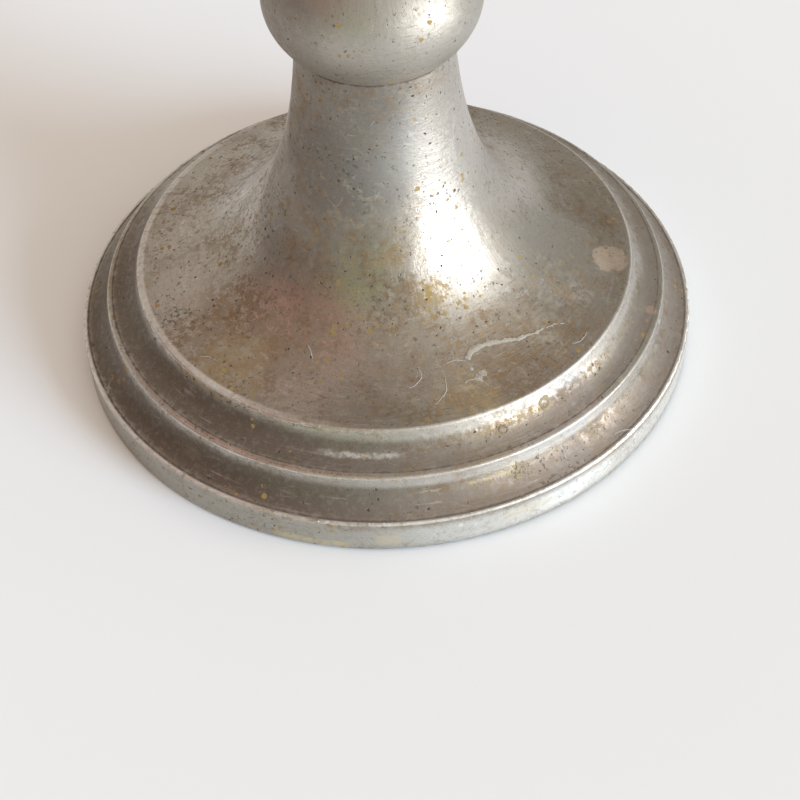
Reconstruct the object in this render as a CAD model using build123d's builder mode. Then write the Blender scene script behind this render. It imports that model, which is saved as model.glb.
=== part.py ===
from build123d import *
import os
from math import acos, degrees, sqrt

os.makedirs("parts", exist_ok=True)

# Pillar candle holder: a turned stepped foot with a trumpet flare, a ball knop, a turned stem, a socket
# head and a lift-off drip pan with a pricket. One threaded rod clamps the fixed pieces into a stack.
# Origin: centre of the underside, where the felt pad meets the table. +Z is up, millimetres.

# ---------------------------------------------------------------- driving dimensions
# foot, from the table up to the flare's edge
foot_radius = 56.0
foot_clearance = 0.4
wall_height = 6.3
ledge_width = 0.8
lower_cove_width = 4.4
lower_cove_height = 5.7
tread_width = 0.9
tread_rise = 0.4
upper_cove_width = 5.2
upper_cove_height = 4.7
cove_depth = 1.1
foot_edge_rounding = 0.35
flare_edge_rounding = 0.6

# trumpet flare and neck; the two shares say how much of the curve stays flat and how much stays upright
flare_flatness = 0.77
flare_rise = 2.4
neck_radius = 13.1
neck_height = 45.6
neck_straightness = 0.47
neck_spread = 1.55

# shell and its hollow
shell_wall = 3.0
chamber_slope = 4.6
bottom_rim_width = 3.5
screw_ledge_width = 6.0
web_height = 13.1

# cover, felt and ballast
felt_thickness = 1.6
cover_thickness = 1.5
cover_gap = 0.2
felt_inset = 0.3
ballast_inner_radius = 18.0
ballast_height = 9.0
ballast_gap = 0.3

# countersunk cover screws
cover_screw_count = 3
screw_radius = 1.25
screw_head_radius = 2.3
screw_length = 8.0
screw_hole_spare = 0.8
screw_slot_width = 0.7
screw_slot_depth = 0.6
countersink_angle = 90.0

# threaded rod and what is on its lower end
rod_radius = 4.0
rod_hole_gap = 0.3
rod_chamfer = 0.6
rod_tail = 3.5
thread_engagement = 10.0
washer_radius = 8.0
washer_thickness = 1.6
spring_washer_radius = 7.1
spring_washer_thickness = 2.0
spring_washer_split = 1.2
nut_across_flats = 13.0
nut_height = 6.5
nut_chamfer = 0.6

# lower ball knop
lower_knop_radius = 17.8
lower_knop_half_height = 13.3
lower_knop_top_seat = 10.2
knop_spigot_radius = 9.0
knop_spigot_length = 3.2

# stem column and its two collars
collar_height = 3.2
collar_roundness = 1.4
column_height = 36.0
column_foot_radius = 9.4
column_waist_radius = 7.3
column_swell_radius = 10.9
column_top_radius = 8.8
column_spigot_radius = 6.5
column_spigot_depth = 3.6

# upper knop
upper_knop_radius = 14.6
upper_knop_half_height = 9.2
upper_knop_bottom_seat = 9.8
upper_knop_top_seat = 9.0

# socket head
head_height = 30.0
head_foot_radius = 8.4
head_waist_radius = 7.0
head_rim_overhang = 7.0
head_rim_height = 3.0
head_rim_step = 0.8
head_rim_rounding = 0.4
socket_radius = 11.08
socket_depth = 17.0
socket_wall = 2.4
socket_floor = 1.2
socket_chamfer = 0.6
head_spigot_radius = 6.5
head_spigot_length = 3.2

# drip pan
pan_radius = 46.0
pan_floor_thickness = 4.2
pan_web_thickness = 1.8
pan_foot_overhang = 1.5
pan_rim_width = 8.0
pan_rim_height = 6.6
pan_rim_lean = 5.0
pan_wall = 2.4
pan_underside_depth = 0.9
pan_floor_rounding = 2.0
well_radius = 9.2
well_depth = 2.4

# pan spigot, pricket and washer
spigot_running_fit = 0.08
spigot_length = 15.5
spigot_chamfer = 1.0
stud_radius = 3.0
stud_chamfer = 0.4
stud_engagement = 6.5
pricket_flange_radius = 8.0
pricket_root_radius = 4.6
pricket_tip_radius = 0.7
pricket_height = 34.0
pricket_washer_radius = 8.6
pricket_washer_thickness = 0.6

# clearances shared by the registers and threads
register_gap = 0.15
register_bottom_gap = 0.3
thread_gap = 0.05
thread_bottom_gap = 0.7

# ---------------------------------------------------------------- heights that follow
wall_top = foot_clearance + wall_height
tread_z = wall_top + lower_cove_height
upper_cove_z = tread_z + tread_rise
flare_edge_z = upper_cove_z + upper_cove_height
neck_top = flare_edge_z + neck_height

ledge_radius = foot_radius - ledge_width
tread_radius = ledge_radius - lower_cove_width
upper_cove_radius = tread_radius - tread_width
flare_edge_radius = upper_cove_radius - upper_cove_width

cover_bottom = felt_thickness
cover_top = cover_bottom + cover_thickness
rebate_radius = foot_radius - bottom_rim_width
chamber_radius = rebate_radius - screw_ledge_width
chamber_top = flare_edge_z - shell_wall - chamber_slope
screw_circle_radius = (rebate_radius + chamber_radius) / 2
web_bottom = neck_top - web_height


def knop_seat_rise(radius, half_height, seat_radius):
    """Height from a knop's equator to the flat where its radius has come down to seat_radius."""
    return half_height * sqrt(1 - (seat_radius / radius) ** 2)


lower_knop_centre = neck_top + knop_seat_rise(lower_knop_radius, lower_knop_half_height, neck_radius)
lower_knop_top = lower_knop_centre + knop_seat_rise(
    lower_knop_radius, lower_knop_half_height, lower_knop_top_seat
)
column_bottom = lower_knop_top + collar_height
column_top = column_bottom + column_height
upper_knop_bottom = column_top + collar_height
upper_knop_centre = upper_knop_bottom + knop_seat_rise(
    upper_knop_radius, upper_knop_half_height, upper_knop_bottom_seat
)
upper_knop_top = upper_knop_centre + knop_seat_rise(
    upper_knop_radius, upper_knop_half_height, upper_knop_top_seat
)
head_top = upper_knop_top + head_height
head_rim_radius = socket_radius + socket_wall + head_rim_overhang
pan_floor = head_top + pan_floor_thickness
pan_rim_top = pan_floor + pan_rim_height
well_floor = pan_floor - well_depth

rod_hole_radius = rod_radius + rod_hole_gap
rod_thread_radius = rod_radius + thread_gap
rod_top = upper_knop_top + thread_engagement
washer_bottom = web_bottom - washer_thickness
spring_washer_bottom = washer_bottom - spring_washer_thickness
nut_bottom = spring_washer_bottom - nut_height
rod_bottom = nut_bottom - rod_tail

column_register_radius = column_spigot_radius + register_gap
column_register_depth = column_spigot_depth + register_bottom_gap
stud_hole_radius = stud_radius + register_gap
stud_thread_radius = stud_radius + thread_gap
stud_top = well_floor + pricket_washer_thickness + stud_engagement


def finish(piece, name):
    """Label a finished piece and write it to its own STEP file."""
    piece.part.label = name
    export_step(piece.part, "parts/" + name + ".step")


# ---------------------------------------------------------------- foot, flare and neck
flare_curve = (
    (flare_edge_radius, flare_edge_z),
    (flare_edge_radius - flare_flatness * (flare_edge_radius - neck_radius), flare_edge_z + flare_rise),
    (neck_radius + neck_spread, neck_top - neck_straightness * neck_height),
    (neck_radius, neck_top),
)
hollow_curve = [(radius - shell_wall, height - shell_wall) for radius, height in flare_curve]

with BuildPart() as base_shell:
    with BuildSketch(Plane.XZ) as outside:
        with BuildLine():
            Polyline((0, foot_clearance), (foot_radius, foot_clearance), (foot_radius, wall_top))
            Line((foot_radius, wall_top), (ledge_radius, wall_top))
            SagittaArc((ledge_radius, wall_top), (tread_radius, tread_z), cove_depth)
            Line((tread_radius, tread_z), (upper_cove_radius, upper_cove_z))
            SagittaArc((upper_cove_radius, upper_cove_z), (flare_edge_radius, flare_edge_z), cove_depth)
            Bezier(*flare_curve)
            Polyline((neck_radius, neck_top), (0, neck_top), (0, foot_clearance))
        make_face()
        for corner in ((foot_radius, foot_clearance), (foot_radius, wall_top), (tread_radius, tread_z)):
            fillet(outside.vertices().sort_by_distance(corner)[0], foot_edge_rounding)
        fillet(
            outside.vertices().sort_by_distance((flare_edge_radius, flare_edge_z))[0],
            flare_edge_rounding,
        )
    revolve(axis=Axis.Z)
    with BuildSketch(Plane.XZ):
        with BuildLine():
            Polyline(
                (0, foot_clearance),
                (rebate_radius, foot_clearance),
                (rebate_radius, cover_top),
                (chamber_radius, cover_top),
                (chamber_radius, chamber_top),
                hollow_curve[0],
            )
            Bezier(*hollow_curve)
            Polyline(hollow_curve[-1], (0, neck_top - shell_wall), (0, foot_clearance))
        make_face()
        with Locations((0, foot_clearance)):
            Rectangle(
                foot_radius,
                web_bottom - foot_clearance,
                align=(Align.MIN, Align.MIN),
                mode=Mode.INTERSECT,
            )
    revolve(axis=Axis.Z, mode=Mode.SUBTRACT)
    with Locations((0, 0, neck_top)):
        CounterBoreHole(
            radius=rod_hole_radius,
            counter_bore_radius=knop_spigot_radius + register_gap,
            counter_bore_depth=knop_spigot_length + register_bottom_gap,
            depth=web_height,
        )
    with BuildSketch(Plane.XY.offset(cover_top)):
        with PolarLocations(screw_circle_radius, cover_screw_count):
            Circle(screw_radius + thread_gap)
    extrude(amount=screw_length - cover_thickness + screw_hole_spare, mode=Mode.SUBTRACT)
finish(base_shell, "base_shell")

# ---------------------------------------------------------------- ballast ring inside the foot
with BuildPart() as ballast_ring:
    with BuildSketch(Plane.XZ):
        with BuildLine():
            Polyline(
                (ballast_inner_radius, cover_top),
                (chamber_radius - ballast_gap, cover_top),
                (chamber_radius - ballast_gap, chamber_top - ballast_gap),
                (hollow_curve[0][0] - ballast_gap, hollow_curve[0][1] - ballast_gap),
                (hollow_curve[0][0] - ballast_gap, cover_top + ballast_height),
                (ballast_inner_radius, cover_top + ballast_height),
                close=True,
            )
        make_face()
    revolve(axis=Axis.Z)
finish(ballast_ring, "ballast_ring")

# ---------------------------------------------------------------- cover, its screws and the felt pad
with BuildPart() as base_cover:
    with BuildSketch(Plane.XY.offset(cover_bottom)):
        Circle(rebate_radius - cover_gap)
    extrude(amount=cover_thickness)
    with Locations(Plane(origin=(0, 0, cover_bottom), z_dir=(0, 0, -1))):
        with PolarLocations(screw_circle_radius, cover_screw_count, start_angle=180):
            CounterSinkHole(
                radius=screw_radius + register_gap,
                counter_sink_radius=screw_head_radius + thread_gap,
                depth=cover_thickness,
                counter_sink_angle=countersink_angle,
            )
finish(base_cover, "base_cover")

with BuildPart() as cover_screws:
    with BuildSketch(Plane.XZ):
        with BuildLine():
            Polyline(
                (0, cover_bottom),
                (screw_head_radius, cover_bottom),
                (screw_radius, cover_bottom + screw_head_radius - screw_radius),
                (screw_radius, cover_bottom + screw_length - screw_radius),
                (0, cover_bottom + screw_length),
                close=True,
            )
        make_face()
    revolve(axis=Axis.Z)
    with BuildSketch(Plane.XY.offset(cover_bottom)):
        Rectangle(2 * screw_head_radius, screw_slot_width)
    extrude(amount=screw_slot_depth, mode=Mode.SUBTRACT)
one_screw = cover_screws.part
with BuildPart() as cover_screws:
    with PolarLocations(screw_circle_radius, cover_screw_count):
        add(one_screw)
finish(cover_screws, "cover_screws")

with BuildPart() as felt_pad:
    with BuildSketch():
        Circle(rebate_radius - felt_inset)
    extrude(amount=felt_thickness)
finish(felt_pad, "felt_pad")

# ---------------------------------------------------------------- rod, washers and nut
with BuildPart() as tie_rod:
    with BuildSketch(Plane.XY.offset(rod_bottom)):
        Circle(rod_radius)
    extrude(amount=rod_top - rod_bottom)
    chamfer(tie_rod.edges().filter_by(GeomType.CIRCLE), rod_chamfer)
finish(tie_rod, "tie_rod")

with BuildPart() as rod_washer:
    with BuildSketch(Plane.XY.offset(washer_bottom)):
        Circle(washer_radius)
        Circle(rod_hole_radius, mode=Mode.SUBTRACT)
    extrude(amount=washer_thickness)
finish(rod_washer, "rod_washer")

with BuildPart() as rod_spring_washer:
    with BuildSketch(Plane.XY.offset(spring_washer_bottom)):
        Circle(spring_washer_radius)
        Circle(rod_hole_radius, mode=Mode.SUBTRACT)
        with Locations((spring_washer_radius, 0)):
            Rectangle(2 * (spring_washer_radius - rod_radius), spring_washer_split, mode=Mode.SUBTRACT)
    extrude(amount=spring_washer_thickness)
finish(rod_spring_washer, "rod_spring_washer")

with BuildPart() as rod_nut:
    with BuildSketch(Plane.XY.offset(nut_bottom)):
        RegularPolygon(nut_across_flats / 2, 6, major_radius=False)
        Circle(rod_thread_radius, mode=Mode.SUBTRACT)
    extrude(amount=nut_height)
    chamfer(rod_nut.edges().filter_by(GeomType.CIRCLE), nut_chamfer)
finish(rod_nut, "rod_nut")


# ---------------------------------------------------------------- knops
def squashed_ball(radius, half_height, centre, bottom_seat, top_seat):
    """Squashed ball with a flat seat of the given radius turned on each end."""
    start_angle = -degrees(acos(bottom_seat / radius))
    end_angle = degrees(acos(top_seat / radius))
    with BuildPart() as ball:
        with BuildSketch(Plane.XZ):
            with BuildLine():
                side = EllipticalCenterArc(
                    (0, centre), radius, half_height, start_angle, arc_size=end_angle - start_angle
                )
                Polyline(side @ 1, (0, (side @ 1).Y), (0, (side @ 0).Y), side @ 0)
            make_face()
        revolve(axis=Axis.Z)
    return ball.part


lower_ball = squashed_ball(
    lower_knop_radius, lower_knop_half_height, lower_knop_centre, neck_radius, lower_knop_top_seat
)
with BuildPart() as lower_knop:
    add(lower_ball)
    with BuildSketch(Plane.XY.offset(neck_top)):
        Circle(knop_spigot_radius)
    extrude(amount=-knop_spigot_length)
    with Locations((0, 0, lower_knop_top)):
        CounterBoreHole(
            radius=rod_hole_radius,
            counter_bore_radius=column_register_radius,
            counter_bore_depth=column_register_depth,
            depth=lower_knop_top - neck_top + knop_spigot_length,
        )
finish(lower_knop, "lower_knop")

upper_ball = squashed_ball(
    upper_knop_radius, upper_knop_half_height, upper_knop_centre, upper_knop_bottom_seat, upper_knop_top_seat
)
with BuildPart() as upper_knop:
    add(upper_ball)
    with Locations((0, 0, upper_knop_top)):
        CounterBoreHole(
            radius=rod_hole_radius,
            counter_bore_radius=head_spigot_radius + register_gap,
            counter_bore_depth=head_spigot_length + register_bottom_gap,
            depth=upper_knop_top - upper_knop_bottom,
        )
    with BuildSketch(Plane.XY.offset(upper_knop_bottom)):
        Circle(column_register_radius)
    extrude(amount=column_register_depth, mode=Mode.SUBTRACT)
finish(upper_knop, "upper_knop")

# ---------------------------------------------------------------- collars and stem column
for collar_name, collar_bottom, collar_seat in (
    ("lower_collar", lower_knop_top, lower_knop_top_seat),
    ("upper_collar", column_top, upper_knop_bottom_seat),
):
    with BuildPart() as collar:
        with BuildSketch(Plane.XZ):
            with BuildLine():
                SagittaArc(
                    (collar_seat, collar_bottom),
                    (collar_seat, collar_bottom + collar_height),
                    -collar_roundness,
                )
                Polyline(
                    (collar_seat, collar_bottom + collar_height),
                    (column_register_radius, collar_bottom + collar_height),
                    (column_register_radius, collar_bottom),
                    (collar_seat, collar_bottom),
                )
            make_face()
        revolve(axis=Axis.Z)
    finish(collar, collar_name)

column_spigot_length = collar_height + column_spigot_depth
with BuildPart() as stem_column:
    with BuildSketch(Plane.XZ):
        with BuildLine():
            side = Spline(
                (column_foot_radius, column_bottom),
                (column_waist_radius, column_bottom + column_height / 5),
                (column_swell_radius, column_top - column_height / 4),
                (column_top_radius, column_top),
                tangents=[(-1, 1), (-1, 1)],
            )
            Polyline(side @ 1, (0, column_top), (0, column_bottom), side @ 0)
        make_face()
    revolve(axis=Axis.Z)
    with BuildSketch(Plane.XY.offset(column_bottom - column_spigot_length)):
        Circle(column_spigot_radius)
    extrude(amount=column_height + 2 * column_spigot_length)
    with BuildSketch(Plane.XY.offset(column_bottom - column_spigot_length)):
        Circle(rod_hole_radius)
    extrude(amount=column_height + 2 * column_spigot_length, mode=Mode.SUBTRACT)
finish(stem_column, "stem_column")

# ---------------------------------------------------------------- socket head
head_rim_bottom = head_top - head_rim_height
cup_bottom = head_top - socket_depth - socket_floor
cup_radius = socket_radius + socket_wall
rim_underside_radius = head_rim_radius - head_rim_step
with BuildPart() as socket_head:
    with BuildSketch(Plane.XZ) as bell:
        with BuildLine():
            Bezier(
                (head_foot_radius, upper_knop_top),
                (head_waist_radius, (upper_knop_top + cup_bottom) / 2),
                (cup_radius, (upper_knop_top + cup_bottom) / 2),
                (cup_radius, cup_bottom),
            )
            Bezier(
                (cup_radius, cup_bottom),
                (cup_radius, (cup_bottom + head_rim_bottom) / 2),
                (rim_underside_radius - head_rim_height, head_rim_bottom),
                (rim_underside_radius, head_rim_bottom),
            )
            Polyline(
                (rim_underside_radius, head_rim_bottom),
                (head_rim_radius, head_rim_bottom),
                (head_rim_radius, head_top),
                (0, head_top),
                (0, upper_knop_top),
                (head_foot_radius, upper_knop_top),
            )
        make_face()
        for corner in ((head_rim_radius, head_rim_bottom), (head_rim_radius, head_top)):
            fillet(bell.vertices().sort_by_distance(corner)[0], head_rim_rounding)
    revolve(axis=Axis.Z)
    with BuildSketch(Plane.XY.offset(upper_knop_top)):
        Circle(head_spigot_radius)
    extrude(amount=-head_spigot_length)
    with BuildSketch(Plane.XY.offset(upper_knop_top - head_spigot_length)):
        Circle(rod_thread_radius)
    extrude(amount=head_spigot_length + thread_engagement + thread_bottom_gap, mode=Mode.SUBTRACT)
    with BuildSketch(Plane.XY.offset(head_top)):
        Circle(socket_radius)
    extrude(amount=-socket_depth, mode=Mode.SUBTRACT)
    chamfer(
        socket_head.faces().sort_by(Axis.Z)[-1].inner_wires().edges(),
        socket_chamfer,
    )
finish(socket_head, "socket_head")

# ---------------------------------------------------------------- drip pan, which lifts off
pan_foot_radius = head_rim_radius + pan_foot_overhang
pan_floor_radius = pan_radius - pan_rim_width
rim_foot_radius = pan_radius - pan_rim_lean
lip_z = pan_rim_top - pan_wall / 2
with BuildPart() as drip_pan:
    with BuildSketch(Plane.XZ) as dish:
        with BuildLine():
            Line((0, head_top), (pan_foot_radius, head_top))
            SagittaArc(
                (pan_foot_radius, head_top),
                (rim_foot_radius, pan_floor - pan_wall),
                pan_underside_depth,
            )
            SagittaArc((rim_foot_radius, pan_floor - pan_wall), (pan_radius, lip_z), pan_underside_depth)
            SagittaArc((pan_radius, lip_z), (pan_radius - pan_wall, lip_z), -pan_wall / 2)
            SagittaArc((pan_radius - pan_wall, lip_z), (pan_floor_radius, pan_floor), -pan_underside_depth)
            Polyline(
                (pan_floor_radius, pan_floor),
                (well_radius, pan_floor),
                (well_radius, well_floor),
                (0, well_floor),
                (0, head_top),
            )
        make_face()
        fillet(dish.vertices().sort_by_distance((pan_floor_radius, pan_floor))[0], pan_floor_rounding)
    revolve(axis=Axis.Z)
    with Locations((0, 0, well_floor)):
        Hole(stud_hole_radius, depth=pan_web_thickness)
finish(drip_pan, "drip_pan")

# ---------------------------------------------------------------- pan spigot, washer and pricket
with BuildPart() as pan_spigot:
    with BuildSketch(Plane.XY.offset(head_top)):
        Circle(socket_radius - spigot_running_fit)
    extrude(amount=-spigot_length)
    chamfer(pan_spigot.edges().sort_by(Axis.Z)[0], spigot_chamfer)
    with BuildSketch(Plane.XY.offset(head_top)):
        Circle(stud_radius)
    extrude(amount=stud_top - head_top)
    chamfer(pan_spigot.edges().sort_by(Axis.Z)[-1], stud_chamfer)
finish(pan_spigot, "pan_spigot")

with BuildPart() as pricket_washer:
    with BuildSketch(Plane.XY.offset(well_floor)):
        Circle(pricket_washer_radius)
        Circle(stud_hole_radius, mode=Mode.SUBTRACT)
    extrude(amount=pricket_washer_thickness)
finish(pricket_washer, "pricket_washer")

flange_bottom = well_floor + pricket_washer_thickness
pricket_top = pan_floor + pricket_height
with BuildPart() as pricket:
    with BuildSketch(Plane.XZ) as spike:
        with BuildLine():
            Polyline(
                (0, flange_bottom),
                (pricket_flange_radius, flange_bottom),
                (pricket_flange_radius, pan_floor),
                (pricket_root_radius, pan_floor),
                (pricket_tip_radius, pricket_top - pricket_tip_radius),
            )
            ThreePointArc(
                (pricket_tip_radius, pricket_top - pricket_tip_radius),
                (pricket_tip_radius / sqrt(2), pricket_top - pricket_tip_radius * (1 - 1 / sqrt(2))),
                (0, pricket_top),
            )
            Line((0, pricket_top), (0, flange_bottom))
        make_face()
    revolve(axis=Axis.Z)
    with BuildSketch(Plane.XY.offset(flange_bottom)):
        Circle(stud_thread_radius)
    extrude(amount=stud_engagement + thread_bottom_gap, mode=Mode.SUBTRACT)
finish(pricket, "pricket")
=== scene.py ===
"""Pillar candle holder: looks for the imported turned-metal candlestick.

The stand is a stepped round foot that flares up into a neck, then a ball knop, a stem, a second knop
and a socket head. The drip pan with its pricket lifts off. Every length in this file is in
millimetres unless its name ends in _m, because the shader graphs work in millimetres.
"""

import math

import bmesh
import bpy
from mathutils import Matrix, Vector, noise
from mathutils.bvhtree import BVHTree


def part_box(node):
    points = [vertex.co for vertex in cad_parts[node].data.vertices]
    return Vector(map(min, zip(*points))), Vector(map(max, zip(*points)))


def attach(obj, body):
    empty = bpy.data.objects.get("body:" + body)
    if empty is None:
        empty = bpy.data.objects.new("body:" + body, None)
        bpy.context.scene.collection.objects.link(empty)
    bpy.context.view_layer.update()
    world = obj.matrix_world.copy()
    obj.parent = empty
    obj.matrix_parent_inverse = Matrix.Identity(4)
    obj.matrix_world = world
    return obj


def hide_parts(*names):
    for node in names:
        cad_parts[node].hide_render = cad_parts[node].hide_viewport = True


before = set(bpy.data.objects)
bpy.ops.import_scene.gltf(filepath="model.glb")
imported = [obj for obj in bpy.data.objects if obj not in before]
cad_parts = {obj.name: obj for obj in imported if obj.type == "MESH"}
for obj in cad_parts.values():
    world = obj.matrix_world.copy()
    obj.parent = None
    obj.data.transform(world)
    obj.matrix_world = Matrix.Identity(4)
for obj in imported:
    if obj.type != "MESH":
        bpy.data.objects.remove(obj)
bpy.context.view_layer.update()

MM = 0.001

# ---------------------------------------------------------------- camera and framing
CAMERA_PLACE = (1.88, -230.19, 224.70)
CAMERA_LOOKS_DOWN = 47.157
CAMERA_ROLL = -2.24
CAMERA_LENS = 76.5
CAMERA_NEAR_M = 0.01
CAMERA_FAR_M = 50.0

# ---------------------------------------------------------------- studio
FLOOR_SIZE_M = 16.0
FLOOR_COLOUR = (0.80, 0.80, 0.80)
FLOOR_CLOUD_GAIN = 1.015
BACKDROP_COLOUR = (0.86, 0.86, 0.855)
ROOM_COLOUR = (0.60, 0.54, 0.475)
# Broad tones of the room round the holder: azimuth (0 is +Y, 90 is +X), elevation, half-width, colour.
ROOM_TONES = (
    (-108, 10, 37, (0.146, 0.095, 0.070)),
    (-110, 52, 27, (0.53, 0.295, 0.235)),
    (-160, 16, 22, (0.41, 0.445, 0.20)),
    (-28, 68, 26, (0.62, 0.485, 0.425)),
    (35, 35, 34, (0.36, 0.33, 0.28)),
    (118, 14, 38, (1.25, 1.22, 1.14)),
)
# A tone is full within the core share of its half-width and fades out by the edge share.
TONE_CORE = 0.55
TONE_EDGE = 1.35
# The window lights the floor from a little higher than the part of it that the metal mirrors.
WINDOW_GLINT = dict(azimuth=120, elevation=11.0, distance_m=1.2, size_m=(0.92, 0.58), radiance=5.2)
WINDOW_SOFT = dict(azimuth=128, elevation=15.5, strength=3.75, spread=27.0)
WINDOW_GLINT_COLOUR = (0.97, 0.99, 1.0)
WINDOW_SOFT_COLOUR = (0.76, 1.0, 1.25)
FILL_PLACE_M = (0.2, -0.2, 4.4)
FILL_SIZE_M = (6.0, 6.0)
FILL_RADIANCE = 0.50
FILL_COLOUR = (1.0, 0.92, 0.83)
LIGHT_AIM_M = (0.0, 0.0, 0.03)
# Watts that an area lamp gets for each square metre and each unit of its radiance setting. The radiance that
# it shows is 4 / pi of the setting.
WATTS_PER_RADIANCE = 4

# A Mix node has its own sockets for each kind of value.
MIX_NUMBER_SOCKETS = (0, 2, 3)
MIX_COLOUR_SOCKETS = (6, 7)
MIX_COLOUR_RESULT = 2


class Graph:
    """Short calls for the shader nodes that the materials share. Values are sockets or numbers."""

    def __init__(self, tree):
        self.tree = tree
        tree.nodes.clear()

    def add(self, kind, **settings):
        node = self.tree.nodes.new(kind)
        for name, value in settings.items():
            setattr(node, name, value)
        return node

    def put(self, value, socket):
        if isinstance(value, bpy.types.NodeSocket):
            self.tree.links.new(value, socket)
        elif value is not None:
            socket.default_value = value

    def math(self, operation, a, b=None, clamp=False):
        node = self.add("ShaderNodeMath", operation=operation, use_clamp=clamp)
        for value, socket in zip((a, b), node.inputs):
            self.put(value, socket)
        return node.outputs[0]

    def vector(self, operation, a, b=None, scale=None):
        node = self.add("ShaderNodeVectorMath", operation=operation)
        self.put(a, node.inputs[0])
        self.put(b, node.inputs[1])
        if scale is not None:
            self.put(scale, node.inputs["Scale"])
        gives_number = operation in ("LENGTH", "DISTANCE", "DOT_PRODUCT")
        return node.outputs["Value"] if gives_number else node.outputs[0]

    def split(self, vector):
        node = self.add("ShaderNodeSeparateXYZ")
        self.put(vector, node.inputs[0])
        return node.outputs[0], node.outputs[1], node.outputs[2]

    def join(self, x, y, z):
        node = self.add("ShaderNodeCombineXYZ")
        for value, socket in zip((x, y, z), node.inputs):
            self.put(value, socket)
        return node.outputs[0]

    def mix(self, factor, a, b):
        """The colour a where factor is 0 and b where it is 1."""
        node = self.add("ShaderNodeMix", data_type="RGBA", clamp_factor=True)
        self.put(factor, node.inputs["Factor"])
        for colour, socket in zip((a, b), MIX_COLOUR_SOCKETS):
            value = colour if isinstance(colour, bpy.types.NodeSocket) else (*colour, 1.0)
            self.put(value, node.inputs[socket])
        return node.outputs[MIX_COLOUR_RESULT]

    def blend(self, factor, a, b):
        """The number a where factor is 0 and b where it is 1."""
        node = self.add("ShaderNodeMix", data_type="FLOAT", clamp_factor=True)
        for number, socket in zip((factor, a, b), MIX_NUMBER_SOCKETS):
            self.put(number, node.inputs[socket])
        return node.outputs[0]

    def step(self, value, low, high, to_low=0.0, to_high=1.0):
        """A smooth step of value from low to high."""
        node = self.add("ShaderNodeMapRange", interpolation_type="SMOOTHSTEP", clamp=True)
        for number, socket in zip((value, low, high, to_low, to_high), node.inputs):
            self.put(number, socket)
        return node.outputs[0]

    def noise(self, place, scale, detail=2.0, roughness=0.5, w=None):
        """Fractal noise about 0.5. w is a fourth coordinate."""
        node = self.add("ShaderNodeTexNoise", noise_dimensions="3D" if w is None else "4D")
        self.put(place, node.inputs["Vector"])
        if w is not None:
            self.put(w, node.inputs["W"])
        node.inputs["Scale"].default_value = scale
        node.inputs["Detail"].default_value = detail
        node.inputs["Roughness"].default_value = roughness
        return node.outputs[0]

    def cells(self, place, scale):
        """Distance to the nearest cell centre and that cell's random colour."""
        node = self.add("ShaderNodeTexVoronoi")
        self.put(place, node.inputs["Vector"])
        node.inputs["Scale"].default_value = scale
        return node.outputs["Distance"], node.outputs["Color"]

    def blob(self, place, centre, radius, softness):
        """1 inside a ball round centre, falling to 0 over softness."""
        distance = self.vector("DISTANCE", place, centre)
        return self.step(distance, radius + softness, max(radius - softness, 0.0))

    def bump(self, height, strength, distance_mm, normal=None):
        node = self.add("ShaderNodeBump")
        node.inputs["Strength"].default_value = strength
        node.inputs["Distance"].default_value = distance_mm * MM
        self.put(height, node.inputs["Height"])
        if normal is not None:
            self.put(normal, node.inputs["Normal"])
        return node.outputs[0]


def new_material(name):
    """(material, graph, principled shader, the place in millimetres) of an empty node material."""
    material = bpy.data.materials.new(name)
    material.use_nodes = True
    graph = Graph(material.node_tree)
    shader = graph.add("ShaderNodeBsdfPrincipled")
    output = graph.add("ShaderNodeOutputMaterial")
    graph.put(shader.outputs[0], output.inputs["Surface"])
    coordinates = graph.add("ShaderNodeTexCoord")
    place = graph.vector("SCALE", coordinates.outputs["Object"], scale=1 / MM)
    return material, graph, shader, place


# ---------------------------------------------------------------- worn nickel plate
SILVER = (0.535, 0.512, 0.468)
SILVER_CLEAN = (0.600, 0.580, 0.540)
SILVER_DULL = (0.445, 0.420, 0.375)
SILVER_BRIGHT = (0.88, 0.87, 0.835)
TARNISH_BROWN = (0.255, 0.172, 0.102)
TARNISH_OCHRE = (0.340, 0.240, 0.115)
TARNISH_GREY = (0.330, 0.295, 0.245)
GOLD_SPOT = (0.300, 0.195, 0.062)
PIT_BLACK = (0.055, 0.038, 0.026)
# Painted shade for the creases, with some grime.
CREASE_SHADE_AND_GRIME = (0.095, 0.068, 0.048)
COVE_FILM = (0.250, 0.195, 0.155)
# Dark cove film: tarnish and painted shade on the side away from the window.
COVE_TARNISH_AND_SHADE = (0.120, 0.094, 0.070)
COVE_PINK = (0.200, 0.155, 0.130)
# Wall film: tarnish and painted shade on the side away from the window.
WALL_FILM_AND_SHADE = (0.330, 0.310, 0.265)
FLECK = (0.085, 0.066, 0.046)
SCRATCH_DARK = (0.210, 0.165, 0.120)
# Smoke film on the neck and knop's side away from the window: stain and painted shade.
SMOKE_AND_SHADE_FILM = (0.19, 0.172, 0.150)
RUST = (0.30, 0.155, 0.075)
CHALK = (0.66, 0.63, 0.56)
OCHRE_CRUST = (0.52, 0.41, 0.22)
PINK_BLOTCH = (0.52, 0.40, 0.30)
COPPER_SPOT = (0.62, 0.27, 0.19)


# How the cosine of the angle from a side fades a stain in.
SIDE_FADE = (0.10, 0.90)

PLATE_ROUGHNESS = (0.27, 0.38)
PLATE_ANISOTROPY = 0.38
QUARTER_TURN = 0.25
# Depths that the plate's relief is drawn to.
SWELL_DEPTH = 0.35
LINE_DEPTH = 0.13
GRAIN_DEPTH = 0.05
SPECKLE_DEPTH = 0.02
PIT_DEPTH = 0.10


def noise_vector(g, place, scale, detail=2.0):
    """A smooth random vector about zero."""
    node = g.add("ShaderNodeTexNoise", noise_dimensions="3D")
    g.put(place, node.inputs["Vector"])
    node.inputs["Scale"].default_value = scale
    node.inputs["Detail"].default_value = detail
    return g.vector("SUBTRACT", node.outputs["Color"], (0.5, 0.5, 0.5))


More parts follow.
